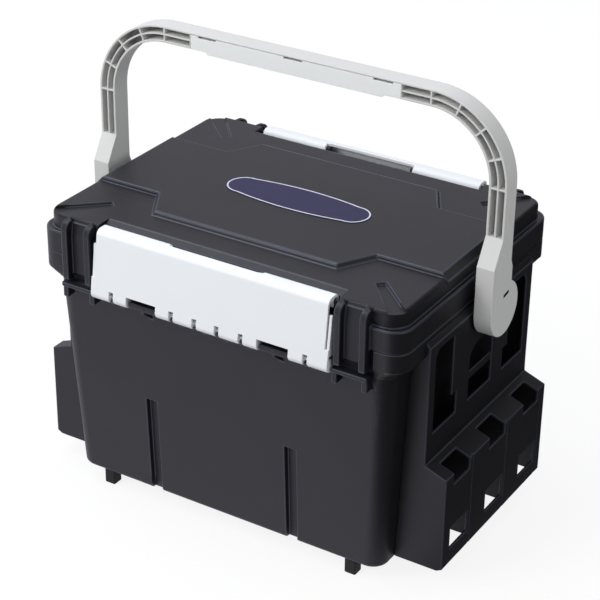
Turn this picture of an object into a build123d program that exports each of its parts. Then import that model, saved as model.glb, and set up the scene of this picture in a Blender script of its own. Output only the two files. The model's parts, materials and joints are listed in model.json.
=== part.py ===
"""Fishing seat box: drafted tub with rod racks, a lid on two-way latches and a bail handle (mm)."""
import math
import os

from build123d import *

os.makedirs("parts", exist_ok=True)

# Clearances
seam_gap = 0.4            # lid rim above the body rim
run_fit = 0.08            # radial play of a turning rod in its seat
side_play = 0.3           # between parts that turn past each other
guard_play = 2.0          # hanging guard panel in front of the body wall

# Main sizes
rack_half = 237.5         # half width over the side racks
lid_top = 320.0           # floor to the top of the lid panel
foot_height = 18.0
wall = 3.2                # moulded wall

# Tub
tub_base = foot_height
tub_low_x = 184.4
tub_low_y = 137.9
tub_high_x = 194.7
tub_high_y = 150.2
tub_corner = 18.0
tub_foot_r = 5.0          # rounding of the tub's lower edge
floor_thick = 3.5
rim_root = 243.0          # where the rim's underside leaves the tub wall
rim_low = 255.0           # lower edge of the rim
seam = 274.5              # top of the body rim
rim_x = 208.5
rim_y = 155.0
rim_corner = 20.0
rim_wall = 7.0
lip_thick = 2.4
lip_height = 6.0
recess_half = 178.0       # front and back rim set back behind latch and guards


def wall_x(z):
    """Half width of the tub's outer wall at a height."""
    return tub_low_x + (tub_high_x - tub_low_x) * (z - tub_base) / (rim_low - tub_base)


def wall_y(z):
    """Half depth of the tub's outer wall at a height."""
    return tub_low_y + (tub_high_y - tub_low_y) * (z - tub_base) / (rim_low - tub_base)


# Grooves up the front and back of the tub
groove_x = 83.0
groove_wide = 13.0
groove_deep = 6.5
groove_top = 130.0

# Latch line: lower rod in the body's seats, upper bar in the lid
rod_out = tub_high_y + 10.1
rod_z = 248.2
rod_r = 1.8
seat_r = rod_r + run_fit
barrel_r = 6.7
bar_out = 146.8
bar_z = 309.3
bar_r = 3.1
curl_r = 6.5              # outer radius of the latch curl round the bar
rib_x = (13.0, 40.2, 112.0)
rib_thick = 4.0
rib_nose = 5.2            # rib in front of and below the rod
nose_drop = 0.7           # nose below the seat, clear of the rod's way out
slot_wide = 5.0
slot_top = rod_z + barrel_r + 0.1
notch_in = 58.7
notch_out = 93.6
lug_low = 6.2             # lug below and above the rod line
lug_high = 1.2
lug_nose = 4.6            # lug in front of the rod line
lug_play = 1.3

# Bracket shelves under the lid guards
shelf_in = 137.5
shelf_out = 176.0
shelf_top = 247.8
shelf_thick = 4.5
shelf_front = 163.0
bracket_wide = 6.0
bracket_low = 231.0

# Handle pivot
pivot_z = 265.0
trunnion_r = 9.0
trunnion_end = 229.0

# Feet
foot_wide = 13.0
foot_x = 148.5
foot_y = 127.5
peg_r = 4.0

# Side racks
slot_far = 96.0           # tall slots: far edge, near edge, near edge below the step
slot_near = 60.0
slot_foot = 50.0
slot_step = 191.0
slot_floor = 167.0
slot_roof = 257.0
arch_half = 24.0          # middle slot
arch_spring = 216.0
arch_crown = 229.0
bar_mid = 194.8           # bar across the middle slot
rack_y = 109.0
rack_low = 21.0
rack_skirt_top = 128.0
rack_ledge = 137.0
rack_panel = 213.5
rack_top = 266.0
rack_wall = 3.0
bay_pitch = 75.5
bay_open = 33.0
bay_in = 221.0
bay_notch = 115.5
window_wide = 37.0
window_low = 41.0
window_top = 66.0
divider = 2.6
line_wide = 2.2           # moulding line beside each bay
line_deep = 1.2

# Lid
lid_low = seam + seam_gap
ledge = 298.5             # top of the lid rim
deck = 315.5              # lower level of the lid top
up_x = 203.0
up_y = 150.0
lid_wall = 3.0
roof = 3.0
panel_x = 107.0
panel_y = 103.0
band_x = 130.0
band_y = 62.5
band_low = 309.0
dock_half = 137.5         # half length of the latch docks in the lid
dock_wall = bar_out - curl_r - 1.0
dock_floor = 291.0
bevel_in = 131.0
bevel_low = 311.0
guard_in = 140.0
guard_out = 174.0
guard_rib = 7.0
guard_front = 163.0
guard_low = 251.3
guard_panel_low = 257.0
guard_shoulder = 11.0     # height of the ribs' rounded shoulder
guard_roll = 9.0          # depth of the shoulder
web_in = 49.5
web_wide = 3.8
web_out = 132.7
strip_deep = 2.8
strip_from = 51.5         # corner strip: start back from the lid's side
strip_side = 44.5
strip_half = 5.0

# Latch
latch_top_half = 132.5
latch_low_half = 136.5
latch_step = 266.0
cheek_in = 133.4
cheek_top = 300.0
mid_half = 48.0
mid_edge = 148.2
curl_in = web_in + web_wide + side_play
curl_out = web_out - side_play

# Badge
badge_long = 165.0
badge_wide = 50.0
badge_thick = 1.0
badge_sunk = 0.5
badge_play = 0.1


def badge_line(grow):
    """Oval outline: long sides gently bowed, ends rounded."""
    end_x = 0.75 * badge_long / 2
    end_y = 0.76 * badge_wide / 2 + grow
    tip = badge_long / 2 + grow
    side = badge_wide / 2 + grow
    ThreePointArc((-end_x, end_y), (0, side), (end_x, end_y))
    ThreePointArc((end_x, end_y), (tip, 0), (end_x, -end_y))
    ThreePointArc((end_x, -end_y), (0, -side), (-end_x, -end_y))
    ThreePointArc((-end_x, -end_y), (-tip, 0), (-end_x, end_y))


def corner_strip(hand, side, half):
    """Outline of the strip that runs out over a lid corner, widening as it goes."""
    Polyline(
        (hand * (up_x - strip_from), side * (up_y - strip_side)),
        (hand * (up_x - strip_from + 1.4 * half), side * (up_y - strip_side - 1.4 * half)),
        (hand * (up_x + 2.4 * half), side * (up_y + 0.2 * half)),
        (hand * (up_x - 0.3 * half), side * (up_y + 2.9 * half)),
        close=True,
    )


# Handle
arm_out = 235.0
arm_in = 216.0
bow_top = 476.5
bow_low = 459.4
bow_r_out = 83.5
bow_r_in = 65.0
bow_front = -13.0
bow_back = 12.0
flange = 2.5
mid_rib = 2.0
pocket_deep = 19.0
pocket_end = 340.0
pocket_point = 12.0       # depth of the pointed pocket ends
lobe_r = 28.5
lobe_shoulder = 317.0     # where the gusset leaves the lobe
lobe_neck = 344.0         # where the gusset meets the bow
mark_long = 12.0          # slot in the lobe's outer face
mark_wide = 4.0
mark_deep = 8.0
grip_half = 120.0
grip_wall = 2.2
grip_skin = 2.0           # bow's top skin over the cover's upper edge
grip_pad_half = 103.0
grip_pad = 2.4
grip_back = 7.0
snap_x = 100.0
snap_wide = 23.0
snap_high = 2.0
snap_pocket = 5.4         # height of the pocket behind a snap window
snap_reach = 6.0          # tongue into the pocket


# The tub's hollow, shaped round the backs of the two pairs of grooves
with BuildPart() as hollow:
    with BuildSketch(Plane.XY.offset(tub_base + floor_thick)):
        RectangleRounded(2 * (tub_low_x - wall), 2 * (tub_low_y - wall), tub_corner - wall)
    with BuildSketch(Plane.XY.offset(rim_root)):
        RectangleRounded(2 * (wall_x(rim_root) - wall), 2 * (wall_y(rim_root) - wall), tub_corner - wall)
    loft(ruled=True)
    with BuildSketch(Plane.XY.offset(rim_root)):
        RectangleRounded(2 * (wall_x(rim_root) - wall), 2 * (wall_y(rim_root) - wall), tub_corner - wall)
    with BuildSketch(Plane.XY.offset(rim_low)):
        RectangleRounded(2 * (rim_x - rim_wall), 2 * (tub_high_y - wall), tub_corner - wall)
    loft(ruled=True)
    with BuildSketch(Plane.XY.offset(rim_low)):
        RectangleRounded(2 * (rim_x - rim_wall), 2 * (tub_high_y - wall), tub_corner - wall)
    extrude(amount=seam + lip_height - rim_low + 1)
    for side in (-1, 1):
        back = groove_deep + wall
        for x in (-groove_x, groove_x):
            with BuildSketch(Plane.YZ.offset(x)):
                with BuildLine():
                    Polyline(
                        (side * (wall_y(tub_base) + 5), tub_base),
                        (side * (wall_y(tub_base) - back), tub_base),
                        (side * (wall_y(groove_top) - back), groove_top + wall),
                        (side * (wall_y(groove_top) + 5), groove_top + wall),
                        close=True,
                    )
                make_face()
            extrude(amount=groove_wide / 2 + wall, both=True, mode=Mode.SUBTRACT)

# Body: tub, rim, lip, brackets, rod seats and handle trunnions in one moulding
with BuildPart() as body_tub:
    with BuildSketch(Plane.XY.offset(tub_base)):
        RectangleRounded(2 * tub_low_x, 2 * tub_low_y, tub_corner)
    with BuildSketch(Plane.XY.offset(rim_low)):
        RectangleRounded(2 * tub_high_x, 2 * tub_high_y, tub_corner)
    loft(ruled=True)
    fillet(body_tub.edges().group_by(Axis.Z)[0], tub_foot_r)
    with BuildSketch(Plane.XY.offset(rim_root)):
        RectangleRounded(2 * wall_x(rim_root), 2 * wall_y(rim_root), tub_corner)
    with BuildSketch(Plane.XY.offset(rim_low)):
        RectangleRounded(2 * rim_x, 2 * rim_y, rim_corner)
    loft(ruled=True)
    with BuildSketch(Plane.XY.offset(rim_low)):
        RectangleRounded(2 * rim_x, 2 * rim_y, rim_corner)
    extrude(amount=seam - rim_low)
    with BuildSketch(Plane.XY.offset(seam)):
        RectangleRounded(
            2 * (rim_x - rim_wall + lip_thick), 2 * (tub_high_y - wall + lip_thick), tub_corner
        )
    extrude(amount=lip_height)
    with BuildSketch(Plane.XY.offset(rim_root - 1)):
        with Locations((0, tub_high_y + 10), (0, -tub_high_y - 10)):
            Rectangle(2 * recess_half, 20)
    extrude(amount=seam - rim_root + 1, mode=Mode.SUBTRACT)
    add(hollow.part, mode=Mode.SUBTRACT)
    for side in (-1, 1):
        for x in (-groove_x, groove_x):
            with BuildSketch(Plane.YZ.offset(x)):
                with BuildLine():
                    Polyline(
                        (side * 170, tub_base - 1),
                        (side * (wall_y(tub_base) - groove_deep), tub_base - 1),
                        (side * (wall_y(groove_top) - groove_deep), groove_top),
                        (side * 170, groove_top),
                        close=True,
                    )
                make_face()
            extrude(amount=groove_wide / 2, both=True, mode=Mode.SUBTRACT)
    # shelves with a bracket plate under each end, beside the latch
    root = wall_y(bracket_low) - 1.2
    for side in (-1, 1):
        for hand in (-1, 1):
            mid_y = side * (root + shelf_front) / 2
            with Locations((hand * (shelf_in + shelf_out) / 2, mid_y, shelf_top - shelf_thick / 2)):
                Box(shelf_out - shelf_in, shelf_front - root, shelf_thick)
            for x in (shelf_in + bracket_wide / 2, shelf_out - bracket_wide / 2):
                with Locations((hand * x, mid_y - side, (bracket_low + shelf_top) / 2 - 1)):
                    Box(bracket_wide, shelf_front - root - 2, shelf_top - bracket_low - 2)
    # rod seats: open above and outward, so the latch rod lifts or swings out
    for side in (-1, 1):
        for hand in (-1, 1):
            for x in rib_x:
                with BuildSketch(Plane.YZ.offset(hand * x)):
                    with BuildLine():
                        Polyline(
                            (side * root, rod_z),
                            (side * rod_out, rod_z),
                            (side * rod_out, rod_z - seat_r - nose_drop),
                            (side * (rod_out + rib_nose - 1), rod_z - seat_r - nose_drop),
                            (side * (rod_out + rib_nose), rod_z - seat_r - nose_drop - 1),
                            (side * (rod_out + rib_nose - 1.5), rod_z - 6.5),
                            (side * rod_out, rod_z - 9),
                            (side * root, rod_z - 17),
                            close=True,
                        )
                    make_face()
                    with Locations((side * rod_out, rod_z)):
                        Circle(seat_r, mode=Mode.SUBTRACT)
                extrude(amount=rib_thick / 2, both=True)
            # lug low in each wide notch of the latch, its nose rolled under
            with BuildSketch(Plane.YZ.offset(hand * (notch_in + notch_out) / 2)):
                with BuildLine():
                    Polyline(
                        (side * root, rod_z - lug_low - 6),
                        (side * root, rod_z + lug_high),
                        (side * (rod_out + lug_nose - 1), rod_z + lug_high),
                        (side * (rod_out + lug_nose), rod_z + lug_high - 1),
                        (side * (rod_out + lug_nose), rod_z - lug_low + 4),
                    )
                    ThreePointArc(
                        (side * (rod_out + lug_nose), rod_z - lug_low + 4),
                        (side * (rod_out + lug_nose - 1.2), rod_z - lug_low + 1.2),
                        (side * (rod_out + lug_nose - 4), rod_z - lug_low),
                    )
                    Line(
                        (side * (rod_out + lug_nose - 4), rod_z - lug_low),
                        (side * root, rod_z - lug_low - 6),
                    )
                make_face()
            extrude(amount=(notch_out - notch_in) / 2 - lug_play, both=True)
            with BuildSketch(Plane.YZ.offset(hand * (notch_in + notch_out) / 2)):
                with BuildLine():
                    Polyline(
                        (side * root, rod_z),
                        (side * (rod_out + lug_nose + 0.8), rod_z),
                        (side * (rod_out + 2), rod_z - lug_low - 3),
                        (side * root, rod_z - lug_low - 14),
                        close=True,
                    )
                make_face()
            extrude(amount=2, both=True)
    # trunnions for the handle lobes
    for hand in (-1, 1):
        with BuildSketch(Plane.YZ.offset(hand * (rim_x - 2))):
            with Locations((0, pivot_z)):
                Circle(trunnion_r)
        extrude(amount=hand * (trunnion_end - rim_x + 2))
    # peg holes for the feet
    with BuildSketch(Plane.XY.offset(tub_base - 1)):
        with GridLocations(2 * foot_x, 2 * foot_y, 2, 2):
            Circle(peg_r)
    extrude(amount=floor_thick + 1.5, mode=Mode.SUBTRACT)
body_tub.part.label = "body_tub"
export_step(body_tub.part, "parts/body_tub.step")

# Feet: square pads with a peg through the tub floor
for name, fx, fy in (
    ("foot_front_left", -1, -1),
    ("foot_front_right", 1, -1),
    ("foot_rear_left", -1, 1),
    ("foot_rear_right", 1, 1),
):
    with BuildPart() as foot:
        with BuildSketch():
            with Locations((fx * foot_x, fy * foot_y)):
                RectangleRounded(foot_wide, foot_wide, 2)
        extrude(amount=foot_height)
        chamfer(foot.faces().sort_by(Axis.Z)[0].edges(), 1)
        with BuildSketch(Plane.XY.offset(foot_height)):
            with Locations((fx * foot_x, fy * foot_y)):
                Circle(peg_r)
        extrude(amount=floor_thick)
    foot.part.label = name
    export_step(foot.part, f"parts/{name}.step")

# Side rack: three rod bays below, a slotted panel above, open at the bottom and to the tub wall
with BuildPart() as side_rack_right:
    with BuildSketch(Plane.XZ):
        with BuildLine():
            Polyline(
                (wall_x(rack_low), rack_low),
                (wall_x(rim_root), rim_root),
                (rim_x, rim_low),
                (rim_x, rack_top + 4),
                (rack_panel, rack_top - 1),
                (rack_panel, rack_ledge),
                (rack_half, rack_skirt_top),
                (rack_half, rack_low + 3),
                (rack_half - 6, rack_low),
                close=True,
            )
        make_face()
    extrude(amount=rack_y, both=True)
    drop = (rack_ledge - rack_skirt_top) / (rack_half - rack_panel)
    inner_ledge = rack_ledge - rack_wall * math.sqrt(1 + drop * drop) + drop * rack_wall
    with BuildSketch(Plane.XZ):
        with BuildLine():
            Polyline(
                (tub_low_x - 10, 0),
                (tub_low_x - 10, rack_top - 7),
                (rack_panel - rack_wall, rack_top - 7),
                (rack_panel - rack_wall, inner_ledge),
                (rack_half - rack_wall, inner_ledge - drop * (rack_half - rack_panel)),
                (rack_half - rack_wall, 0),
                close=True,
            )
        make_face()
    extrude(amount=rack_y - rack_wall, both=True, mode=Mode.SUBTRACT)
    # walls between the bays
    for y in (-bay_pitch / 2, bay_pitch / 2):
        with BuildSketch(Plane.XZ.offset(-y)):
            with BuildLine():
                Polyline(
                    (wall_x(rack_low), rack_low),
                    (wall_x(rack_ledge - 4), rack_ledge - 4),
                    (rack_panel - 1, rack_ledge - 4),
                    (rack_half - 1, rack_skirt_top - 2),
                    (rack_half - 1, rack_low + 3),
                    (rack_half - 6, rack_low),
                    close=True,
                )
            make_face()
        extrude(amount=divider / 2, both=True)
    for y in (-bay_pitch, 0, bay_pitch):
        # rod opening in the sloped top, running down the outer face
        with Locations(((bay_in + rack_half + 5) / 2, y, (bay_notch + rack_ledge + 3) / 2)):
            Box(rack_half + 5 - bay_in, bay_open, rack_ledge + 3 - bay_notch, mode=Mode.SUBTRACT)
        # window near the bottom of the bay
        with Locations((rack_half, y, (window_low + window_top) / 2)):
            Box(4 * rack_wall, window_wide, window_top - window_low, mode=Mode.SUBTRACT)
        # moulding line beside the bay
        with Locations((rack_half, y + 22, rack_skirt_top / 2)):
            Box(2 * line_deep, line_wide, rack_skirt_top + 10, mode=Mode.SUBTRACT)
    # tall slots in the upper panel, stepped wider toward the middle below
    for side in (-1, 1):
        with BuildSketch(Plane.YZ.offset(rack_panel - 6)):
            with BuildLine():
                Polyline(
                    (side * slot_far, slot_floor),
                    (side * slot_far, slot_roof - 8),
                    (side * (slot_far - 6), slot_roof),
                    (side * slot_near, slot_roof),
                    (side * slot_near, slot_step),
                    (side * slot_foot, slot_step),
                    (side * slot_foot, slot_floor),
                    close=True,
                )
            make_face()
        extrude(amount=12, mode=Mode.SUBTRACT)
    # middle slot with an arched top and a bar across
    with BuildSketch(Plane.YZ.offset(rack_panel - 6)):
        with BuildLine():
            Polyline(
                (-arch_half, arch_spring),
                (-arch_half, slot_floor + 1),
                (arch_half, slot_floor + 1),
                (arch_half, arch_spring),
            )
            ThreePointArc((arch_half, arch_spring), (0, arch_crown), (-arch_half, arch_spring))
        make_face()
    extrude(amount=12, mode=Mode.SUBTRACT)
    with Locations((rack_panel - rack_wall / 2 - 0.5, 0, bar_mid)):
        Box(rack_wall - 1, 2 * arch_half + 2, 8.5)
    # room for the trunnion
    with BuildSketch(Plane.YZ.offset(rim_x - 1)):
        with Locations((0, pivot_z)):
            Circle(trunnion_r + 0.5)
        with Locations((0, pivot_z + 10)):
            Rectangle(2 * trunnion_r + 1, 20)
    extrude(amount=10, mode=Mode.SUBTRACT)
side_rack_right.part.label = "side_rack_right"
export_step(side_rack_right.part, "parts/side_rack_right.step")

with BuildPart() as side_rack_left:
    add(mirror(side_rack_right.part, about=Plane.YZ))
side_rack_left.part.label = "side_rack_left"
export_step(side_rack_left.part, "parts/side_rack_left.step")

# The lid's hollow, kept clear of the two latch docks
with BuildPart() as lid_hollow:
    with BuildSketch(Plane.XY.offset(lid_low - 1)):
        RectangleRounded(2 * (rim_x - lid_wall), 2 * (rim_y - lid_wall + 0.2), rim_corner - lid_wall)
    extrude(amount=ledge - lid_wall - lid_low + 1)
    with BuildSketch(Plane.XY.offset(ledge - lid_wall - 1)):
        RectangleRounded(2 * (up_x - lid_wall), 2 * (up_y - lid_wall), rim_corner - lid_wall)
    extrude(amount=deck - roof - ledge + lid_wall + 1)
    with Locations((0, 0, deck - roof)):
        Box(2 * (panel_x - 6), 2 * (panel_y - 6), 2 * (lid_top - deck))
        Box(2 * (up_x - 6), 2 * (band_y - 6), 2 * (lid_top - deck))
    for side in (-1, 1):
        with Locations((0, side * (dock_wall - lid_wall + 20), dock_floor - lid_wall + 20)):
            Box(2 * (dock_half + lid_wall), 40, 40, mode=Mode.SUBTRACT)
        for hand in (-1, 1):
            with BuildSketch(Plane.XY.offset(deck - strip_deep - roof)):
                with BuildLine():
                    corner_strip(hand, side, strip_half + lid_wall)
                make_face()
            extrude(amount=20, mode=Mode.SUBTRACT)

with BuildPart() as lid:
    with BuildSketch(Plane.XY.offset(lid_low)):
        RectangleRounded(2 * rim_x, 2 * rim_y, rim_corner)
    extrude(amount=ledge - lid_low)
    chamfer(lid.faces().sort_by(Axis.Z)[-1].edges(), 1.2)
    with BuildSketch(Plane.XY.offset(ledge)):
        RectangleRounded(2 * up_x, 2 * up_y, rim_corner)
    extrude(amount=deck - ledge)
    fillet(lid.faces().sort_by(Axis.Z)[-1].edges(), 4.5)
    # raised panel and the band that rolls over both side edges
    with BuildSketch(Plane.XY.offset(deck - 1)):
        with BuildLine():
            Polyline(
                (-panel_x, -panel_y),
                (panel_x, -panel_y),
                (band_x, -band_y),
                (band_x, band_y),
                (panel_x, panel_y),
                (-panel_x, panel_y),
                (-band_x, band_y),
                (-band_x, -band_y),
                close=True,
            )
        make_face()
    extrude(amount=lid_top - deck + 1, taper=32)
    with BuildSketch(Plane.XZ):
        with BuildLine():
            Polyline(
                (-up_x - 1.4, band_low),
                (-up_x - 1.4, lid_top - 7),
                (-up_x + 5.5, lid_top),
                (up_x - 5.5, lid_top),
                (up_x + 1.4, lid_top - 7),
                (up_x + 1.4, band_low),
                close=True,
            )
        make_face()
        fillet(
            [v for v in vertices() if v.Z > lid_top - 8],
            5.0,
        )
    extrude(amount=band_y, both=True)
    chamfer(
        lid.edges().filter_by(Axis.X).filter_by_position(Axis.Z, lid_top - 0.1, lid_top + 0.1),
        1.5,
    )
    # recessed strips across the four corners
    for side in (-1, 1):
        for hand in (-1, 1):
            with BuildSketch(Plane.XY.offset(deck - strip_deep)):
                with BuildLine():
                    corner_strip(hand, side, strip_half)
                make_face()
            extrude(amount=10, mode=Mode.SUBTRACT)
    # docks for the latches, with a bevel at the back
    for side in (-1, 1):
        with Locations((0, side * (dock_wall + 20), dock_floor + 20)):
            Box(2 * dock_half, 40, 40, mode=Mode.SUBTRACT)
        with BuildSketch(Plane.YZ):
            with BuildLine():
                Polyline(
                    (side * bevel_in, deck),
                    (side * (dock_wall + 1), bevel_low - 0.55),
                    (side * (dock_wall + 1), deck + 2),
                    (side * bevel_in, deck + 2),
                    close=True,
                )
            make_face()
        extrude(amount=dock_half, both=True, mode=Mode.SUBTRACT)
    # guards: two ribs and a set-back panel hanging below the seam at each latch end
    inner = tub_high_y + guard_play
    for side in (-1, 1):
        for hand in (-1, 1):
            for x in (guard_in + guard_rib / 2, guard_out - guard_rib / 2):
                with BuildSketch(Plane.YZ.offset(hand * x)):
                    with BuildLine():
                        Polyline(
                            (side * inner, guard_low),
                            (side * (guard_front - 1.5), guard_low),
                            (side * guard_front, guard_low + 2),
                            (side * guard_front, deck - guard_shoulder),
                        )
                        ThreePointArc(
                            (side * guard_front, deck - guard_shoulder),
                            (side * (guard_front - 0.27 * guard_roll), deck - 0.31 * guard_shoulder),
                            (side * (guard_front - guard_roll), deck - 0.6),
                        )
                        Polyline(
                            (side * (guard_front - guard_roll), deck - 0.6),
                            (side * (up_y - 4), deck - 0.3),
                            (side * (up_y - 4), ledge - 1),
                            (side * inner, ledge - 3),
                            (side * inner, guard_low),
                        )
                    make_face()
                extrude(amount=guard_rib / 2, both=True)
            with BuildSketch(Plane.YZ.offset(hand * (guard_in + guard_out) / 2)):
                with BuildLine():
                    Polyline(
                        (side * inner, guard_panel_low),
                        (side * rim_y, guard_panel_low),
                        (side * rim_y, ledge - 1),
                        (side * (up_y + 2), deck - 3.5),
                        (side * (up_y - lid_wall), deck - 3.5),
                        (side * (up_y - lid_wall), ledge - 1),
                        (side * inner, ledge - 3),
                        close=True,
                    )
                make_face()
            extrude(amount=(guard_out - guard_in) / 2 - 1, both=True)
    add(lid_hollow.part, mode=Mode.SUBTRACT)
    # bars the latches turn on, standing on webs in the docks
    for side in (-1, 1):
        for hand in (-1, 1):
            with BuildSketch(Plane.YZ.offset(hand * web_in)):
                with Locations((side * bar_out, bar_z)):
                    Circle(bar_r)
            extrude(amount=hand * (dock_half + 1 - web_in))
            for x in (web_in, web_out):
                with BuildSketch(Plane.YZ.offset(hand * x)):
                    with Locations((side * bar_out, (bar_z + dock_floor - 1) / 2)):
                        Rectangle(2 * bar_r, bar_z - dock_floor + 1)
                extrude(amount=hand * web_wide)
    # stiffening ribs under the lid
    for y in (-45, 45):
        with Locations((0, y, deck - roof - 3)):
            Box(2 * (up_x - lid_wall) + 1, 2.4, 8)
    for x in (-70, 0, 70):
        with Locations((x, 0, deck - roof - 3)):
            Box(2.4, 2 * bevel_in, 8)
    # seat for the badge
    with BuildSketch(Plane.XY.offset(lid_top - badge_sunk)):
        with BuildLine():
            badge_line(badge_play)
        make_face()
    extrude(amount=5, mode=Mode.SUBTRACT)
lid.part.label = "lid"
export_step(lid.part, "parts/lid.step")

with BuildPart() as lid_badge:
    with BuildSketch(Plane.XY.offset(lid_top - badge_sunk)):
        with BuildLine():
            badge_line(0)
        make_face()
    extrude(amount=badge_thick)
lid_badge.part.label = "lid_badge"
export_step(lid_badge.part, "parts/lid_badge.step")

# Latch: bent plate, curl round the lid's bar, barrel edge with a rod through its slots
with BuildPart() as front_latch:
    with BuildSketch(Plane.YZ):
        with BuildLine():
            outer_top = (-(bar_out + 6.0), bar_z + curl_r)
            outer_turn = (-(bar_out + 12.5), bar_z - 0.5)
            inner_turn = (-(bar_out + 9.5), bar_z - 1.1)
            Polyline(outer_turn, (-(rod_out + barrel_r), rod_z), (-(rod_out + barrel_r - 3), rod_z))
            Line((-(rod_out + barrel_r - 3), rod_z), inner_turn)
            ThreePointArc(
                inner_turn, (-(bar_out + 8.2), bar_z + 2), (-(bar_out + 5.4), bar_z + curl_r - 3)
            )
            Line((-(bar_out + 5.4), bar_z + curl_r - 3), (-bar_out, bar_z + curl_r - 3))
            Line((-bar_out, bar_z + curl_r - 3), (-bar_out, bar_z + curl_r))
            Line((-bar_out, bar_z + curl_r), outer_top)
            ThreePointArc(outer_top, (-(bar_out + 10.5), bar_z + 4.4), outer_turn)
        make_face()
    extrude(amount=latch_low_half, both=True)
    # barrel along the lower edge, open at its back
    with BuildSketch(Plane.YZ):
        with Locations((-rod_out, rod_z)):
            Circle(barrel_r)
        with Locations((-rod_out + rod_r + 5, rod_z)):
            Rectangle(10, 4 * barrel_r, mode=Mode.SUBTRACT)
    extrude(amount=latch_low_half, both=True)
    # narrower above the step
    for hand in (-1, 1):
        with Locations((hand * (latch_top_half + 10), -150, latch_step + 50)):
            Box(20, 60, 100, mode=Mode.SUBTRACT)
    # the middle of the top edge stops short of the bar
    with BuildSketch(Plane.XY.offset(bar_z - 5)):
        with BuildLine():
            Polyline(
                (-curl_in - 2, -bar_out + 20),
                (-curl_in, -bar_out + 0.1),
                (-mid_half, -mid_edge),
                (mid_half, -mid_edge),
                (curl_in, -bar_out + 0.1),
                (curl_in + 2, -bar_out + 20),
                close=True,
            )
        make_face()
    extrude(amount=20, mode=Mode.SUBTRACT)
    # curls round the two lengths of bar, with a mouth below to clip on
    with BuildSketch(Plane.YZ.offset(curl_in)):
        with Locations((-bar_out, bar_z)):
            Circle(curl_r)
            Circle(bar_r + run_fit, mode=Mode.SUBTRACT)
        with Locations((-bar_out + 1.2, bar_z - curl_r)):
            Rectangle(4.8, 10, mode=Mode.SUBTRACT)
    extrude(amount=curl_out - curl_in)
    with BuildSketch(Plane.YZ.offset(-curl_out)):
        with Locations((-bar_out, bar_z)):
            Circle(curl_r)
            Circle(bar_r + run_fit, mode=Mode.SUBTRACT)
        with Locations((-bar_out + 1.2, bar_z - curl_r)):
            Rectangle(4.8, 10, mode=Mode.SUBTRACT)
    extrude(amount=curl_out - curl_in)
    # slots over the body's rod seats and notches over its lugs
    for hand in (-1, 1):
        for x in rib_x:
            with Locations((hand * x, -rod_out, slot_top - 10)):
                Box(slot_wide, 24, 20, mode=Mode.SUBTRACT)
        with Locations((hand * (notch_in + notch_out) / 2, -rod_out, slot_top - 10)):
            Box(notch_out - notch_in, 24, 20, mode=Mode.SUBTRACT)
    # rod bridging the slots
    with BuildSketch(Plane.YZ):
        with Locations((-rod_out, rod_z)):
            Circle(rod_r)
    extrude(amount=notch_in - 0.5, both=True)
    for hand in (-1, 1):
        with BuildSketch(Plane.YZ.offset(hand * (notch_out + 0.5))):
            with Locations((-rod_out, rod_z)):
                Circle(rod_r)
        extrude(amount=hand * (latch_low_half - notch_out - 1))
    # end cheeks, parted from the plate by a narrow slit
    for hand in (-1, 1):
        with BuildSketch(Plane.YZ.offset(hand * cheek_in)):
            with BuildLine():
                Polyline(
                    (-(rod_out + 3.6), latch_step - 8),
                    (-(rod_out + 2.6), latch_step),
                    (-(bar_out + 11.8), cheek_top),
                    (-(rim_y + 1.2), cheek_top),
                    (-(rim_y + 1.2), latch_step - 8),
                    close=True,
                )
            make_face()
        extrude(amount=hand * (latch_low_half - cheek_in))
    # stiffening ribs behind the plate
    for x in (-88, -30, 30, 88):
        with BuildSketch(Plane.YZ.offset(x)):
            with BuildLine():
                Polyline(
                    (-(rod_out + 2.5), slot_top + 3),
                    (-(bar_out + 11.4), bar_z - 12),
                    (-(rim_y + 1.2), bar_z - 12),
                    (-(rim_y + 1.2), slot_top + 3),
                    close=True,
                )
            make_face()
        extrude(amount=1.1, both=True)
front_latch.part.label = "front_latch"
export_step(front_latch.part, "parts/front_latch.step")

with BuildPart() as rear_latch:
    add(front_latch.part, rotation=(0, 0, 180))
rear_latch.part.label = "rear_latch"
export_step(rear_latch.part, "parts/rear_latch.step")

# Two rows of pockets in the front of the bow, parted by cross ribs round each corner
pocket_rows = (
    (flange, (arm_out - arm_in - mid_rib) / 2),
    ((arm_out - arm_in + mid_rib) / 2, arm_out - arm_in - flange),
)
bow_slim = (bow_top - bow_low) / (arm_out - arm_in)
with BuildPart() as pockets:
    for near, far in pocket_rows:
        for depth, way in ((near, Mode.ADD), (far, Mode.SUBTRACT)):
            with BuildSketch(Plane.XZ.offset(-bow_front)):
                with Locations((0, (bow_top - depth * bow_slim + 290) / 2)):
                    edge = Rectangle(2 * (arm_out - depth), bow_top - depth * bow_slim - 290)
                fillet(edge.vertices().group_by(Axis.Y)[-1], bow_r_out - depth)
            extrude(amount=-pocket_deep, mode=way)
    with BuildSketch(Plane.XZ.offset(-bow_front)):
        with Locations((0, bow_top)):
            Rectangle(2 * grip_half + 1, 80)
        for hand in (-1, 1):
            with BuildLine():
                Polyline(
                    (hand * (arm_in - 10), 280),
                    (hand * (arm_in - 10), pocket_end + pocket_point),
                    (hand * (arm_in + arm_out) / 2, pocket_end - pocket_point / 2),
                    (hand * (arm_out + 10), pocket_end + pocket_point),
                    (hand * (arm_out + 10), 280),
                    close=True,
                )
            make_face()
            for turn in (0, 22.5, 45, 67.5, 90):
                reach = bow_r_out - 9
                rib_at = hand * (arm_out - bow_r_out + reach * math.cos(math.radians(turn)))
                rib_up = bow_top - bow_r_out + reach * math.sin(math.radians(turn))
                with Locations((rib_at, rib_up)):
                    Rectangle(30, mid_rib, rotation=hand * turn)
        with Locations((0, 290)):
            Rectangle(2 * arm_in, 40)
    extrude(amount=-pocket_deep - 1, mode=Mode.SUBTRACT)

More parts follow.
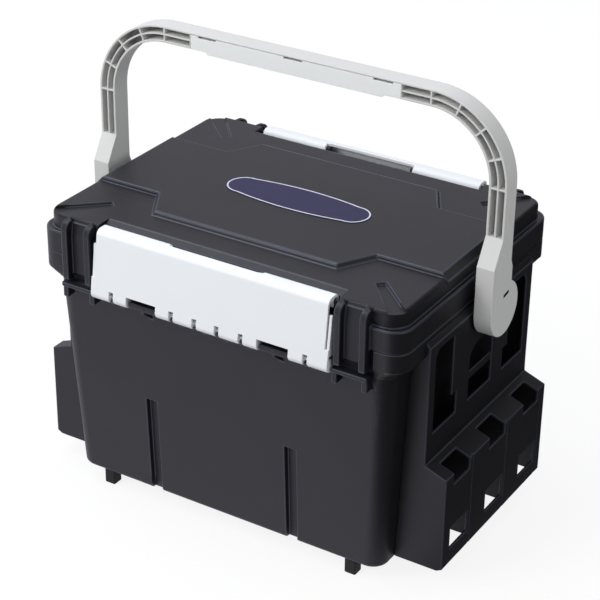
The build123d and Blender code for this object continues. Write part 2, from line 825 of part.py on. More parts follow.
# Handle bow with its pockets, and a lobe over each trunnion
with BuildPart() as handle_bail:
    with BuildSketch(Plane.XZ.offset(-bow_back)):
        with Locations((0, (bow_top + 300) / 2)):
            bow_edge = Rectangle(2 * arm_out, bow_top - 300)
        fillet(bow_edge.vertices().group_by(Axis.Y)[-1], bow_r_out)
    extrude(amount=bow_back - bow_front)
    with BuildSketch(Plane.XZ.offset(-bow_back - 1)):
        with Locations((0, (bow_low + 290) / 2)):
            bow_edge = Rectangle(2 * arm_in, bow_low - 290)
        fillet(bow_edge.vertices().group_by(Axis.Y)[-1], bow_r_in)
    extrude(amount=bow_back - bow_front + 2, mode=Mode.SUBTRACT)
    # rear edges rounded for the hand
    fillet(
        handle_bail.faces().sort_by(Axis.Y)[-1].edges(),
        5,
    )
    add(pockets.part, mode=Mode.SUBTRACT)
    # lobes: round plate, straight back edge and a gusset in front
    for hand in (-1, 1):
        with BuildSketch(Plane.YZ.offset(hand * arm_in)):
            with Locations((0, pivot_z)):
                Circle(lobe_r)
            with BuildLine():
                Polyline(
                    (-lobe_r, pivot_z),
                    (-lobe_r, lobe_shoulder),
                    (bow_front, lobe_neck),
                    (bow_back - 5, lobe_neck),
                    (bow_back - 5, lobe_shoulder),
                    (bow_back, lobe_shoulder - 12),
                    (bow_back, pivot_z),
                    close=True,
                )
            make_face()
        extrude(amount=hand * (arm_out - arm_in))
        with BuildSketch(Plane.YZ.offset(hand * (arm_in - 1))):
            with Locations((0, pivot_z)):
                Circle(trunnion_r + run_fit)
        extrude(amount=hand * (trunnion_end - arm_in + 1.6), mode=Mode.SUBTRACT)
        # slot beside the pivot, seen on the outer face
        with BuildSketch(Plane.YZ.offset(hand * (arm_out + 1))):
            with Locations((2, pivot_z + 15)):
                SlotOverall(mark_long, mark_wide, rotation=10)
        extrude(amount=hand * -(mark_deep + 1), mode=Mode.SUBTRACT)
    # crossbar core drawn in at the front and below for the grip cover
    with BuildSketch(Plane.YZ):
        with Locations(((bow_front + grip_back) / 2 - 1, (bow_low + bow_top - grip_skin) / 2 - 1)):
            Rectangle(grip_back - bow_front + 2, bow_top - grip_skin - bow_low + 2)
        with Locations(((bow_front + grip_wall + grip_back + 1) / 2, (bow_low + grip_wall + bow_top) / 2)):
            Rectangle(
                grip_back - bow_front - grip_wall + 1, bow_top - bow_low - grip_wall, mode=Mode.SUBTRACT
            )
    extrude(amount=grip_half, both=True, mode=Mode.SUBTRACT)
    # pockets that take the cover's tongues
    for x in (-snap_x, 0, snap_x):
        with Locations(
            (x, bow_front + grip_wall + snap_reach / 2, bow_top - grip_skin - snap_pocket / 2)
        ):
            Box(snap_wide, snap_reach + 4, snap_pocket, mode=Mode.SUBTRACT)
handle_bail.part.label = "handle_bail"
export_step(handle_bail.part, "parts/handle_bail.step")

# Grip cover clipped over the front and underside of the crossbar
cover_top = bow_top - grip_skin - 0.15
with BuildPart() as handle_grip:
    with BuildSketch(Plane.YZ):
        with Locations(((bow_front + grip_back) / 2, (bow_low + cover_top) / 2)):
            Rectangle(grip_back - bow_front, cover_top - bow_low)
        with Locations(((bow_front + grip_wall + grip_back + 1) / 2, (bow_low + grip_wall + bow_top) / 2)):
            Rectangle(
                grip_back - bow_front - grip_wall + 1, bow_top - bow_low - grip_wall, mode=Mode.SUBTRACT
            )
    extrude(amount=grip_half - 0.3, both=True)
    with BuildSketch(Plane.XZ.offset(-grip_back)):
        with BuildLine():
            Polyline(
                (-grip_pad_half, bow_low + 1),
                (-grip_pad_half + 4, bow_low - grip_pad),
                (grip_pad_half - 4, bow_low - grip_pad),
                (grip_pad_half, bow_low + 1),
                close=True,
            )
        make_face()
    extrude(amount=grip_back - bow_front)
    for x in (-snap_x, 0, snap_x):
        # window in the upper edge, with the tongue below it
        with Locations((x, bow_front, cover_top - snap_high / 2)):
            Box(snap_wide - 2, 4 * grip_wall, snap_high, mode=Mode.SUBTRACT)
        with Locations(
            (x, bow_front + grip_wall + snap_reach / 2 - 0.5, cover_top - snap_high - 1.3)
        ):
            Box(snap_wide - 2, snap_reach + 1, 2.2)
handle_grip.part.label = "handle_grip"
export_step(handle_grip.part, "parts/handle_grip.step")
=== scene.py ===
"""Looks of a fishing seat box: moulded tub, lid, latches, bow handle and a plain studio round them."""
import json
import math

import bmesh
import bpy
from mathutils import Matrix, Vector
from mathutils.bvhtree import BVHTree
from mathutils.geometry import intersect_point_line

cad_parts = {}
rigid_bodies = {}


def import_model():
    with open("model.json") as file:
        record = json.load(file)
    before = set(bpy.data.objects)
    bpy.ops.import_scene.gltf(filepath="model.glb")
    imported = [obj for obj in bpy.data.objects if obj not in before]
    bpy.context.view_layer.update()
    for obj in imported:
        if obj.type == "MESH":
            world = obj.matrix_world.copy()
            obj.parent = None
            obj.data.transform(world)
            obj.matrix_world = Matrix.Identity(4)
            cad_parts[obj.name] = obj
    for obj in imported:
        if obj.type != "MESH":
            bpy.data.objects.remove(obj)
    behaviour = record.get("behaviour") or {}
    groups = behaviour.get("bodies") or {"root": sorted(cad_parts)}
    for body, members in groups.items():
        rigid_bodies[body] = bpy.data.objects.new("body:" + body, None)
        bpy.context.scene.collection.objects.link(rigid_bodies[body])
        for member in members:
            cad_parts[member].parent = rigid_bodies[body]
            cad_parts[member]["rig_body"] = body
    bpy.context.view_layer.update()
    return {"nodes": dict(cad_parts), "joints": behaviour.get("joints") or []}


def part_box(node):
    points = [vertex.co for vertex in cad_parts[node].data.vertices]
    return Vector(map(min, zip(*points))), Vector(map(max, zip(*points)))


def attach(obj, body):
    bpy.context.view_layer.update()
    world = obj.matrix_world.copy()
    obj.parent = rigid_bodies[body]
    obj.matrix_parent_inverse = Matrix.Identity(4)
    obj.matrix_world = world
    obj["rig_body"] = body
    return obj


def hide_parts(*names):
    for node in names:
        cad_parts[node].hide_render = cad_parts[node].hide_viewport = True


bl_info = {
    "name": "Fishing seat box",
    "version": (1, 0, 0),
    "blender": (4, 5, 0),
    "location": "View3D > Sidebar > Seat box",
    "description": "Dresses the seat box's solids in their moulded finishes and sets up its studio",
    "category": "Object",
}

for leftover in list(bpy.data.objects):
    bpy.data.objects.remove(leftover)
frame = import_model()

MM = 0.001

# How the sharp edges of the solids are eased, as a mould tool leaves them
WELD_DISTANCE = 0.004 * MM      # splits along facet borders are closed up to this
FLAT_TURN = math.radians(0.4)   # facets that meet flatter than this are one face
EDGE_TURN = math.radians(28)    # an edge sharper than this is eased
SMOOTH_TURN = math.radians(32)  # an edge flatter than this is shaded as one surface
EASE_SEGMENTS = 2
LEAST_EASE = 0.12               # an edge with less room than this share of the full width stays sharp
ROOM_LIMIT = 1.0                # more room, in metres, than any edge needs
ROOM_SHARE = 2.4                # two eased edges that face each other share the face between them
NARROW_MEET = math.cos(math.radians(40))  # sharp edges that meet more narrowly than this stay sharp
STRAY_SHARE = 0.6               # an eased point stays this close to the solid, in widths
STRAY_REACH = 5.0               # edges this close to a point that strays, in widths, are left sharp
EASE_TRIES = 8
LONG_EDGE = 40 * MM             # a longer edge is cut near its ends, and if one end has to stay sharp
END_CUT = 12 * MM               # the rest is still eased
FIT_REACH = 4.0 * MM            # edges this close to a latch's hinge line belong to its running fit
LATCH_LINES = [Vector(joint["pos_m"]).yz for joint in frame["joints"] if "latch" in joint["name"]]

# The slot beside each pivot of the handle
HANDLE_LINE = next(Vector(joint["pos_m"]).yz for joint in frame["joints"] if "handle" in joint["name"])
SLOT_FROM_PIVOT = Vector((2.0, 15.0)) * MM  # its middle, back and up from the pivot
SLOT_REACH = 7.0 * MM
SLOT_DEEP = 9.0 * MM
LOBE_SKIN = 0.5 * MM            # faces deeper than this in a lobe belong to its slot

# Widths of the patterns in the materials
CLOUD_WIDE = 70 * MM
INK_WIDE = 22 * MM
PEEL_WIDE = 3.0 * MM
PORE_WIDE = 1.2 * MM
BORDER_SUNK = 0.2 * MM          # how far the badge's pale line reaches down into its film

# The view the box was pictured from: a long lens, to the right of and above the front
FRAME_SENSOR = 36.0
CAMERA_LENS = 112.48
CAMERA_PLACE = Vector((896.57, -1454.41, 1120.65)) * MM
CAMERA_TURN = math.radians(31.53)
CAMERA_PITCH = math.radians(28.17)
CAMERA_ROLL = math.radians(0.79)
CAMERA_FAR = 100.0

# The studio, in metres: a white room in the reflections, with a dark flag on its right
LEFTWARD = (-1, 0, 0)
FLAG_TONE = 0.05
FLOOR_FLAG = (-0.27, -0.15)     # leftward on the floor: dark up to the first, white from the second
ROOM_FLAG = (-0.25, 0.3)        # the same in the room, by how far leftward a reflection looks
FLOOR_GLOW = 0.86               # share of the seen floor that shines white; paint holds the shadow
FLOOR_HALF = 14.0
LAMP_AIM = Vector((0, 0, 0.2))
# a large soft key in front to the left, which reflections leave out, a cool soft light overhead and
# a weak fill on the right: name, place, size, watts, colour and whether reflections show it
LAMPS = (
    ("key", (-1.7, -2.9, 2.7), 2.2, 84.0, "#ffffff", False),
    ("top", (-1.5, -0.1, 3.1), 1.8, 36.0, "#eef2ff", True),
    ("fill", (3.0, -0.3, 1.7), 1.6, 9.0, "#ffffff", True),
)


def linear(code):
    """A colour written as sRGB hex, as linear red, green, blue and alpha."""
    parts = [int(code[i:i + 2], 16) / 255 for i in (1, 3, 5)]
    return [p / 12.92 if p <= 0.04045 else ((p + 0.055) / 1.055) ** 2.4 for p in parts] + [1.0]


def colour_prop(name, description, code):
    """A colour setting, given as sRGB hex."""
    return bpy.props.FloatVectorProperty(
        name=name, description=description, subtype="COLOR", size=4, min=0, max=1,
        default=linear(code))


def length_prop(name, description, millimetres):
    """A length setting, given in millimetres."""
    return bpy.props.FloatProperty(
        name=name, description=description, subtype="DISTANCE", unit="LENGTH", min=0,
        default=millimetres * MM)


class SeatBoxFinish(bpy.types.PropertyGroup):
    """Colours of the mouldings."""
    tub: colour_prop("Tub", "Charcoal of the tub, racks and lid", "#19181d")
    tub_rubbed: colour_prop("Rubbed tub", "Charcoal where hands and gear have rubbed it", "#25242a")
    # painted highlight: the eased edges of tub, racks and lid take this lighter cool charcoal, partly
    # also wear
    tub_edge: colour_prop("Tub edges", "Cool charcoal of edges that catch the light", "#33363f")
    latch: colour_prop("Latch", "White of both latches", "#e9edef")
    handle: colour_prop("Handle", "Light grey of the bow", "#d0d0ce")
    grip: colour_prop("Grip", "White of the grip cover", "#e9eceb")
    badge: colour_prop("Badge", "Navy of the bare badge", "#2a2a4a")
    badge_border: colour_prop("Badge border", "Pale line round the badge", "#d9dbe6")
    foot: colour_prop("Feet", "Black of the rubber feet", "#232325")


class SeatBoxSizes(bpy.types.PropertyGroup):
    """Sizes that the dressing adds to the solids."""
    tub_edge: length_prop("Tub edge", "Width of the eased edges of tub and lid", 1.2)
    rack_edge: length_prop("Rack edge", "Width of the eased edges of the side racks", 1.1)
    latch_edge: length_prop("Latch edge", "Width of the eased edges of the latches", 0.5)
    handle_edge: length_prop("Handle edge", "Width of the eased edges of bow and grip", 0.6)
    border_inset: length_prop("Border inset", "From the badge's rim to its pale line", 0.5)
    border_wide: length_prop("Border width", "Width of the badge's pale line", 1.6)
    border_proud: length_prop("Border height", "How far the pale line stands proud", 0.12)
    grain: length_prop("Grain", "Spark-eroded grain of the tub, drawn coarse enough to show", 1.6)


def add_node(tree, kind, inputs=None, **settings):
    """Adds one node: settings are its properties, inputs its socket values or links."""
    node = tree.nodes.new(kind)
    for name, value in settings.items():
        setattr(node, name, value)
    for name, value in (inputs or {}).items():
        if isinstance(value, bpy.types.NodeSocket):
            tree.links.new(value, node.inputs[name])
        else:
            node.inputs[name].default_value = value
    return node


def new_material(name):
    """An empty node material and its tree."""
    material = bpy.data.materials.new(name)
    material.use_nodes = True
    material.node_tree.nodes.clear()
    return material, material.node_tree


def moulded_plastic(name, colour, rubbed, grain, depth, roughness, specular):
    """Injection moulded plastic: the tool's spark-eroded grain, and clouds where it was rubbed."""
    material, tree = new_material(name)
    place = add_node(tree, "ShaderNodeTexCoord").outputs["Object"]
    # grain of the tool, which breaks up the shine
    fine = add_node(tree, "ShaderNodeTexNoise",
                    {"Vector": place, "Scale": 1 / grain, "Detail": 3.0, "Roughness": 0.6})
    # flow of the melt and the rub of hands, seen as faint clouds a hand wide
    cloud = add_node(tree, "ShaderNodeTexNoise",
                     {"Vector": place, "Scale": 1 / CLOUD_WIDE, "Detail": 4.0, "Roughness": 0.55})
    patch = add_node(tree, "ShaderNodeMapRange",
                     {"Value": cloud.outputs["Fac"], "From Min": 0.35, "From Max": 0.7,
                      "To Min": 0.0, "To Max": 0.3})
    speck = add_node(tree, "ShaderNodeMapRange",
                     {"Value": fine.outputs["Fac"], "From Min": 0.35, "From Max": 0.65,
                      "To Min": -0.06, "To Max": 0.06})
    worn = add_node(tree, "ShaderNodeMath",
                    {0: patch.outputs["Result"], 1: speck.outputs["Result"]},
                    operation="ADD", use_clamp=True)
    tint = add_node(tree, "ShaderNodeMix",
                    {"Factor": worn.outputs["Value"], "A": colour, "B": rubbed}, data_type="RGBA")
    gloss = add_node(tree, "ShaderNodeMapRange",
                     {"Value": fine.outputs["Fac"], "From Min": 0.25, "From Max": 0.75,
                      "To Min": roughness - 0.05, "To Max": roughness + 0.07})
    bump = add_node(tree, "ShaderNodeBump",
                    {"Strength": 0.5, "Distance": depth, "Height": fine.outputs["Fac"]})
    shader = add_node(tree, "ShaderNodeBsdfPrincipled",
                      {"Base Color": tint.outputs["Result"], "Roughness": gloss.outputs["Result"],
                       "IOR": 1.49, "Specular IOR Level": specular, "Normal": bump.outputs["Normal"]})
    add_node(tree, "ShaderNodeOutputMaterial", {"Surface": shader.outputs["BSDF"]})
    return material


def printed_film(name, colour, deeper):
    """Printed polyester film: flat ink under a clear satin face with a slight orange peel."""
    material, tree = new_material(name)
    place = add_node(tree, "ShaderNodeTexCoord").outputs["Object"]
    peel = add_node(tree, "ShaderNodeTexNoise",
                    {"Vector": place, "Scale": 1 / PEEL_WIDE, "Detail": 2.0})
    ink = add_node(tree, "ShaderNodeTexNoise",
                   {"Vector": place, "Scale": 1 / INK_WIDE, "Detail": 3.0})
    tint = add_node(tree, "ShaderNodeMix",
                    {"Factor": ink.outputs["Fac"], "A": colour, "B": deeper}, data_type="RGBA")
    bump = add_node(tree, "ShaderNodeBump",
                    {"Strength": 0.2, "Distance": 0.05 * MM, "Height": peel.outputs["Fac"]})
    shader = add_node(tree, "ShaderNodeBsdfPrincipled",
                      {"Base Color": tint.outputs["Result"], "Roughness": 0.5, "IOR": 1.5,
                       "Specular IOR Level": 0.22, "Normal": bump.outputs["Normal"]})
    add_node(tree, "ShaderNodeOutputMaterial", {"Surface": shader.outputs["BSDF"]})
    return material


def moulded_rubber(name, colour):
    """Moulded rubber: matt, with dust held in its pores."""
    material, tree = new_material(name)
    place = add_node(tree, "ShaderNodeTexCoord").outputs["Object"]
    pores = add_node(tree, "ShaderNodeTexNoise",
                     {"Vector": place, "Scale": 1 / PORE_WIDE, "Detail": 4.0})
    dust = add_node(tree, "ShaderNodeMapRange",
                    {"Value": pores.outputs["Fac"], "From Min": 0.55, "From Max": 0.8,
                     "To Min": 0.0, "To Max": 0.25})
    tint = add_node(tree, "ShaderNodeMix",
                    {"Factor": dust.outputs["Result"], "A": colour, "B": linear("#57565a")},
                    data_type="RGBA")
    bump = add_node(tree, "ShaderNodeBump",
                    {"Strength": 0.4, "Distance": 0.1 * MM, "Height": pores.outputs["Fac"]})
    shader = add_node(tree, "ShaderNodeBsdfPrincipled",
                      {"Base Color": tint.outputs["Result"], "Roughness": 0.85, "IOR": 1.52,
                       "Normal": bump.outputs["Normal"]})
    add_node(tree, "ShaderNodeOutputMaterial", {"Surface": shader.outputs["BSDF"]})
    return material


def face_room(face, edge):
    """How far a face runs in from the middle of one of its edges before it meets another."""
    loop = next(l for l in edge.link_loops if l.face == face)
    start = (edge.verts[0].co + edge.verts[1].co) / 2
    along = (loop.link_loop_next.vert.co - loop.vert.co).normalized()
    inward = face.normal.cross(along)
    room = ROOM_LIMIT
    for other in face.edges:
        if other == edge:
            continue
        ends = [v.co - start for v in other.verts]
        near, far = [e.dot(along) for e in ends]
        if near * far > 0 or near == far:
            continue
        reach = ends[0].dot(inward) + (ends[1] - ends[0]).dot(inward) * near / (near - far)
        if WELD_DISTANCE < reach < room:
            room = reach
    return room


def meets_narrowly(edge, sharp):
    """Whether another sharp edge leaves one of this edge's ends at a small angle."""
    for vert in edge.verts:
        along = (edge.other_vert(vert).co - vert.co).normalized()
        for other in vert.link_edges:
            if other != edge and other in sharp:
                if along.dot((other.other_vert(vert).co - vert.co).normalized()) > NARROW_MEET:
                    return True
    return False


def in_latch_fit(edge):
    """Whether an edge belongs to the bore or the bar that a latch turns on, which stay sharp."""
    return any((vert.co.yz - line).length < FIT_REACH for vert in edge.verts for line in LATCH_LINES)


def near_segment(point, start, end):
    """Distance from a point to a straight edge."""
    foot, share = intersect_point_line(point, start, end)
    if share <= 0 or share >= 1:
        return min((point - start).length, (point - end).length)
    return (point - foot).length


def cut_ends(form):
    """Cuts long sharp edges near both ends."""
    for edge in [e for e in form.edges if e.calc_face_angle(0) > EDGE_TURN]:
        if edge.calc_length() > LONG_EDGE:
            near, far = edge.verts
            piece = bmesh.utils.edge_split(edge, near, END_CUT / edge.calc_length())[0]
            rest = edge if far in edge.verts else piece
            bmesh.utils.edge_split(rest, far, END_CUT / rest.calc_length())


def ease_edges(form, width):
    """Bevel weights for the sharp edges that have room for it, as shares of the full width."""
    weight = form.edges.layers.float.new("bevel_weight_edge")
    sharp = {edge for edge in form.edges if edge.calc_face_angle(0) > EDGE_TURN}
    for edge in sharp:
        room = min(face_room(face, edge) for face in edge.link_faces)
        share = min(1.0, room / (ROOM_SHARE * width))
        if share > LEAST_EASE and not meets_narrowly(edge, sharp) and not in_latch_fit(edge):
            edge[weight] = share
    return weight


def strays(piece, surface, width):
    """Points of the eased piece that have left the solid's surface."""
    graph = bpy.context.evaluated_depsgraph_get()
    eased = piece.evaluated_get(graph)
    found = [v.co.copy() for v in eased.to_mesh().vertices
             if surface.find_nearest(v.co)[3] > STRAY_SHARE * width]
    eased.to_mesh_clear()
    return found


def eased_copy(node, name, width, face_material, edge_material):
    """A copy of a solid with its sharp edges eased, in the solid's place."""
    source = frame["nodes"][node]
    form = bmesh.new()
    form.from_mesh(source.data)
    bmesh.ops.remove_doubles(form, verts=form.verts, dist=WELD_DISTANCE)
    bmesh.ops.dissolve_limit(form, angle_limit=FLAT_TURN, verts=form.verts, edges=form.edges)
    surface = BVHTree.FromBMesh(form)
    cut_ends(form)
    weight = ease_edges(form, width)
    for face in form.faces:
        face.smooth = True
    mesh = bpy.data.meshes.new(name)
    mesh.materials.append(face_material)
    mesh.materials.append(edge_material)
    piece = bpy.data.objects.new(name, mesh)
    bpy.context.scene.collection.objects.link(piece)
    ease = piece.modifiers.new("Eased edges", "BEVEL")
    ease.limit_method, ease.width, ease.segments = "WEIGHT", width, EASE_SEGMENTS
    ease.use_clamp_overlap, ease.material = False, 1
    for attempt in range(EASE_TRIES):
        for edge in form.edges:
            edge.smooth = edge[weight] > 0 or edge.calc_face_angle(0) <= SMOOTH_TURN
        form.to_mesh(mesh)
        away = strays(piece, surface, width)
        if not away:
            break
        reach = STRAY_REACH * width * (1 + attempt)
        for edge in form.edges:
            ends = [v.co for v in edge.verts]
            if edge[weight] > 0 and any(near_segment(point, *ends) < reach for point in away):
                edge[weight] = 0.0
    form.free()
    seal = piece.modifiers.new("Slivers closed", "WELD")
    seal.merge_threshold = WELD_DISTANCE
    level = piece.modifiers.new("Face weighted shading", "WEIGHTED_NORMAL")
    level.keep_sharp = True
    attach(piece, source["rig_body"])
    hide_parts(node)
    return piece


def tub_plastic(scene):
    """The charcoal moulding shared by tub, racks and lid: its faces, and its edges with a painted
    highlight that is partly wear.
    """
    names = ("polypropylene_moulded_charcoal", "polypropylene_charcoal_edge_highlight_and_wear")
    if names[0] not in bpy.data.materials:
        finish, grain = scene.seat_box_finish, scene.seat_box_sizes.grain
        # polypropylene from a spark-eroded tool: near black, satin, cool where it catches the light
        moulded_plastic(names[0], finish.tub, finish.tub_rubbed, grain=grain,
                        depth=0.12 * MM, roughness=0.46, specular=0.46)
        # edges: a painted highlight, partly wear from use: a cool charcoal a shade lighter and
        # smoother than the faces
        moulded_plastic(names[1], finish.tub_edge, linear("#40454f"), grain=2 * grain,
                        depth=0.03 * MM, roughness=0.36, specular=0.5)
    return [bpy.data.materials[name] for name in names]


class SEATBOX_OT_tub(bpy.types.Operator):
    """Dress the tub"""
    bl_idname = "seatbox.tub"
    bl_label = "Tub"

    def execute(self, context):
        eased_copy("body_tub", "tub", context.scene.seat_box_sizes.tub_edge,
                   *tub_plastic(context.scene))
        return {"FINISHED"}


class SEATBOX_OT_racks(bpy.types.Operator):
    """Dress the two side racks"""
    bl_idname = "seatbox.racks"
    bl_label = "Side racks"

    def execute(self, context):
        for side in ("left", "right"):
            eased_copy(f"side_rack_{side}", f"rack_{side}", context.scene.seat_box_sizes.rack_edge,
                       *tub_plastic(context.scene))
        return {"FINISHED"}


class SEATBOX_OT_lid(bpy.types.Operator):
    """Dress the lid"""
    bl_idname = "seatbox.lid"
    bl_label = "Lid"

    def execute(self, context):
        eased_copy("lid", "lid_shell", context.scene.seat_box_sizes.tub_edge,
                   *tub_plastic(context.scene))
        return {"FINISHED"}


class SEATBOX_OT_badge(bpy.types.Operator):
    """Give the bare badge its film and the pale line round it"""
    bl_idname = "seatbox.badge"
    bl_label = "Badge"

    def execute(self, context):
        sizes, finish = context.scene.seat_box_sizes, context.scene.seat_box_finish
        # one film, two inks: a flat navy field and a pale line that reads from afar
        film = printed_film("polyester_film_printed_navy", finish.badge, linear("#323254"))
        pale = printed_film("polyester_film_printed_pale", finish.badge_border, linear("#c9cbdc"))
        badge = frame["nodes"]["lid_badge"]
        badge.data.materials[0] = film
        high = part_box("lid_badge")[1]
        rim = sorted({(round(v.co.x, 6), round(v.co.y, 6)) for v in badge.data.vertices
                      if v.co.z > high.z - WELD_DISTANCE}, key=lambda p: math.atan2(p[1], p[0]))
        form = bmesh.new()
        rows = []
        for inset, up in ((sizes.border_inset, -BORDER_SUNK), (sizes.border_inset, sizes.border_proud),
                          (sizes.border_inset + sizes.border_wide, sizes.border_proud),
                          (sizes.border_inset + sizes.border_wide, -BORDER_SUNK)):
            row = []
            for i, (x, y) in enumerate(rim):
                before, after = rim[i - 1], rim[(i + 1) % len(rim)]
                along = Vector((after[0] - before[0], after[1] - before[1])).normalized()
                row.append(form.verts.new((x - along.y * inset, y + along.x * inset, high.z + up)))
            rows.append(row)
        for near, far in zip(rows, rows[1:] + rows[:1]):
            for i in range(len(rim)):
                k = (i + 1) % len(rim)
                form.faces.new((near[i], near[k], far[k], far[i]))
        bmesh.ops.recalc_face_normals(form, faces=form.faces)
        mesh = bpy.data.meshes.new("badge_border")
        form.to_mesh(mesh)
        form.free()
        mesh.materials.append(pale)
        border = bpy.data.objects.new("badge_border", mesh)
        context.scene.collection.objects.link(border)
        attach(border, "lid")
        return {"FINISHED"}


class SEATBOX_OT_latches(bpy.types.Operator):
    """Dress the front and rear latches"""
    bl_idname = "seatbox.latches"
    bl_label = "Latches"

    def execute(self, context):
        # white acetal from a polished tool: smooth, faintly cool, with a soft shine
        white = moulded_plastic("acetal_moulded_white", context.scene.seat_box_finish.latch,
                                linear("#f0f3f4"), grain=2.4 * MM, depth=0.02 * MM,
                                roughness=0.36, specular=0.4)
        for end in ("front", "rear"):
            eased_copy(f"{end}_latch", f"latch_{end}", context.scene.seat_box_sizes.latch_edge,
                       white, white)
        return {"FINISHED"}


class SEATBOX_OT_handle(bpy.types.Operator):
    """Dress the bow handle and its grip cover"""
    bl_idname = "seatbox.handle"
    bl_label = "Handle"

    def execute(self, context):
        sizes, finish = context.scene.seat_box_sizes, context.scene.seat_box_finish
        # glass-filled polyamide bow: light grey, satin, with a trace of flow from the filler
        grey = moulded_plastic("polyamide_moulded_grey", finish.handle, linear("#d8d8d4"),
                               grain=2.0 * MM, depth=0.04 * MM, roughness=0.46, specular=0.35)
        # white polypropylene grip cover: a little warmer and duller than the latches
        pale = moulded_plastic("polypropylene_moulded_white", finish.grip, linear("#eef1f0"),
                               grain=2.2 * MM, depth=0.02 * MM, roughness=0.4, specular=0.4)
        bow = eased_copy("handle_bail", "bow", sizes.handle_edge, grey, grey)
        # painted shade: the inside of the slot beside each pivot takes the tub's charcoal, so that it
        # reads dark as a deep slot
        slot_painted_shade = len(bow.data.materials)
        bow.data.materials.append(tub_plastic(context.scene)[0])
        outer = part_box("handle_bail")[1].x
        for face in bow.data.polygons:
            from_slot = (face.center.yz - HANDLE_LINE - SLOT_FROM_PIVOT).length
            if from_slot < SLOT_REACH and LOBE_SKIN < outer - abs(face.center.x) < SLOT_DEEP:
                face.material_index = slot_painted_shade
        eased_copy("handle_grip", "grip", sizes.handle_edge, pale, pale)
        return {"FINISHED"}


class SEATBOX_OT_feet(bpy.types.Operator):
    """Give the four feet their rubber"""
    bl_idname = "seatbox.feet"
    bl_label = "Feet"

    def execute(self, context):
        rubber = moulded_rubber("rubber_moulded_black", context.scene.seat_box_finish.foot)
        for name, node in frame["nodes"].items():
            if name.startswith("foot_"):
                node.data.materials[0] = rubber
        return {"FINISHED"}


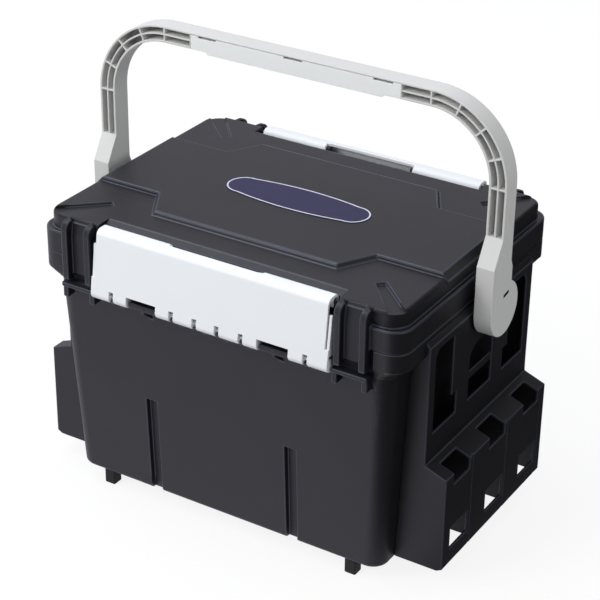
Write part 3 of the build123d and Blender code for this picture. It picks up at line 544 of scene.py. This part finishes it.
class SEATBOX_OT_stage(bpy.types.Operator):
    """Set up the pale floor, the soft lamps, the world and the camera"""
    bl_idname = "seatbox.stage"
    bl_label = "Stage"

    def execute(self, context):
        scene = context.scene
        scene.view_settings.view_transform = "Standard"
        self.lay_floor(scene)
        self.light(scene)
        self.set_camera(scene)
        return {"FINISHED"}

    def rays(self, tree):
        """What looks: 1 for the camera or a clear piece, and 1 for a reflection."""
        path = add_node(tree, "ShaderNodeLightPath")
        direct = add_node(tree, "ShaderNodeMath", {0: path.outputs["Is Camera Ray"],
                          1: path.outputs["Is Transmission Ray"]}, operation="MAXIMUM")
        return direct.outputs["Value"], path.outputs["Is Glossy Ray"]

    def flag(self, tree, place, dark, bright):
        """Tone of the room in a reflection: white, and falling to a dark flag on the right."""
        lean = add_node(tree, "ShaderNodeVectorMath", {0: place, 1: LEFTWARD}, operation="DOT_PRODUCT")
        return add_node(tree, "ShaderNodeMapRange",
                        {"Value": lean.outputs["Value"], "From Min": dark, "From Max": bright,
                         "To Min": FLAG_TONE, "To Max": 1.0},
                        interpolation_type="SMOOTHSTEP").outputs["Result"]

    def lay_floor(self, scene):
        """A painted floor: white to the eye, greyer in bounced light, flagged in reflections."""
        corners = ((-1, -1), (1, -1), (1, 1), (-1, 1))
        mesh = bpy.data.meshes.new("floor")
        mesh.from_pydata([(x * FLOOR_HALF, y * FLOOR_HALF, 0) for x, y in corners], [], [(0, 1, 2, 3)])
        floor = bpy.data.objects.new("floor", mesh)
        scene.collection.objects.link(floor)
        material, tree = new_material("studio_floor_painted_pale")
        direct, glossy = self.rays(tree)
        place = add_node(tree, "ShaderNodeTexCoord").outputs["Object"]
        tone = self.flag(tree, place, *FLOOR_FLAG)
        coat = add_node(tree, "ShaderNodeMix", {"Factor": direct, "A": linear("#a0a0a0"),
                        "B": linear("#ffffff")}, data_type="RGBA")
        paint = add_node(tree, "ShaderNodeBsdfDiffuse", {"Color": coat.outputs["Result"]})
        white = add_node(tree, "ShaderNodeEmission", {"Color": linear("#ffffff"), "Strength": 1.0})
        mirrored = add_node(tree, "ShaderNodeEmission", {"Color": linear("#f6f4ff"), "Strength": tone})
        share = add_node(tree, "ShaderNodeMath", {0: direct, 1: FLOOR_GLOW}, operation="MULTIPLY")
        shown = add_node(tree, "ShaderNodeMixShader", {0: share.outputs["Value"],
                         1: paint.outputs["BSDF"], 2: white.outputs["Emission"]})
        both = add_node(tree, "ShaderNodeMixShader", {0: glossy, 1: shown.outputs["Shader"],
                        2: mirrored.outputs["Emission"]})
        add_node(tree, "ShaderNodeOutputMaterial", {"Surface": both.outputs["Shader"]})
        mesh.materials.append(material)

    def light(self, scene):
        """The white room and its lamps."""
        world = bpy.data.worlds.new("studio")
        scene.world = world
        world.use_nodes = True
        tree = world.node_tree
        tree.nodes.clear()
        direct, glossy = self.rays(tree)
        heading = add_node(tree, "ShaderNodeTexCoord").outputs["Generated"]
        tone = self.flag(tree, heading, *ROOM_FLAG)
        mirrored = add_node(tree, "ShaderNodeMix", {"Factor": glossy, "A": linear("#d2d3d5"),
                            "B": linear("#dcdce6")}, data_type="RGBA")
        shown = add_node(tree, "ShaderNodeMix", {"Factor": direct, "A": mirrored.outputs["Result"],
                         "B": linear("#ffffff")}, data_type="RGBA")
        level = add_node(tree, "ShaderNodeMix", {"Factor": glossy, "A": 1.0, "B": tone})
        ground = add_node(tree, "ShaderNodeBackground", {"Color": shown.outputs["Result"],
                          "Strength": level.outputs["Result"]})
        add_node(tree, "ShaderNodeOutputWorld", {"Surface": ground.outputs["Background"]})
        for name, place, size, power, tint, reflected in LAMPS:
            lamp = bpy.data.lights.new(name, "AREA")
            lamp.size, lamp.energy, lamp.color = size, power, linear(tint)[:3]
            lamp_object = bpy.data.objects.new(name, lamp)
            scene.collection.objects.link(lamp_object)
            lamp_object.location = place
            lamp_object.visible_glossy = reflected
            aim = LAMP_AIM - Vector(place)
            lamp_object.rotation_euler = aim.to_track_quat("-Z", "Y").to_euler()

    def set_camera(self, scene):
        camera = bpy.data.cameras.new("camera")
        camera.lens, camera.sensor_width, camera.clip_end = CAMERA_LENS, FRAME_SENSOR, CAMERA_FAR
        placed = bpy.data.objects.new("camera", camera)
        scene.collection.objects.link(placed)
        turn, pitch, roll = CAMERA_TURN, CAMERA_PITCH, CAMERA_ROLL
        back = Vector((math.sin(turn) * math.cos(pitch), -math.cos(turn) * math.cos(pitch),
                       math.sin(pitch)))
        right = Vector((math.cos(turn), math.sin(turn), 0))
        up = back.cross(right)
        rolled_right = math.cos(roll) * right + math.sin(roll) * up
        rolled_up = math.cos(roll) * up - math.sin(roll) * right
        facing = Matrix((rolled_right, rolled_up, back)).transposed().to_4x4()
        placed.matrix_world = Matrix.Translation(CAMERA_PLACE) @ facing
        scene.camera = placed


class SEATBOX_PT_panel(bpy.types.Panel):
    """Steps that dress the seat box"""
    bl_label = "Fishing seat box"
    bl_idname = "SEATBOX_PT_panel"
    bl_space_type = "VIEW_3D"
    bl_region_type = "UI"
    bl_category = "Seat box"

    def draw(self, context):
        for step in STEPS:
            self.layout.operator(step.bl_idname)
        for group in (context.scene.seat_box_finish, context.scene.seat_box_sizes):
            for name in group.__annotations__:
                self.layout.prop(group, name)


STEPS = (SEATBOX_OT_tub, SEATBOX_OT_racks, SEATBOX_OT_lid, SEATBOX_OT_badge, SEATBOX_OT_latches,
         SEATBOX_OT_handle, SEATBOX_OT_feet, SEATBOX_OT_stage)
CLASSES = (SeatBoxFinish, SeatBoxSizes) + STEPS + (SEATBOX_PT_panel,)


def register():
    for cls in CLASSES:
        bpy.utils.register_class(cls)
    bpy.types.Scene.seat_box_finish = bpy.props.PointerProperty(type=SeatBoxFinish)
    bpy.types.Scene.seat_box_sizes = bpy.props.PointerProperty(type=SeatBoxSizes)


def unregister():
    del bpy.types.Scene.seat_box_sizes
    del bpy.types.Scene.seat_box_finish
    for cls in reversed(CLASSES):
        bpy.utils.unregister_class(cls)


def main():
    register()
    for step in STEPS:
        group, name = step.bl_idname.split(".")
        getattr(getattr(bpy.ops, group), name)()


if __name__ == "__main__":
    main()
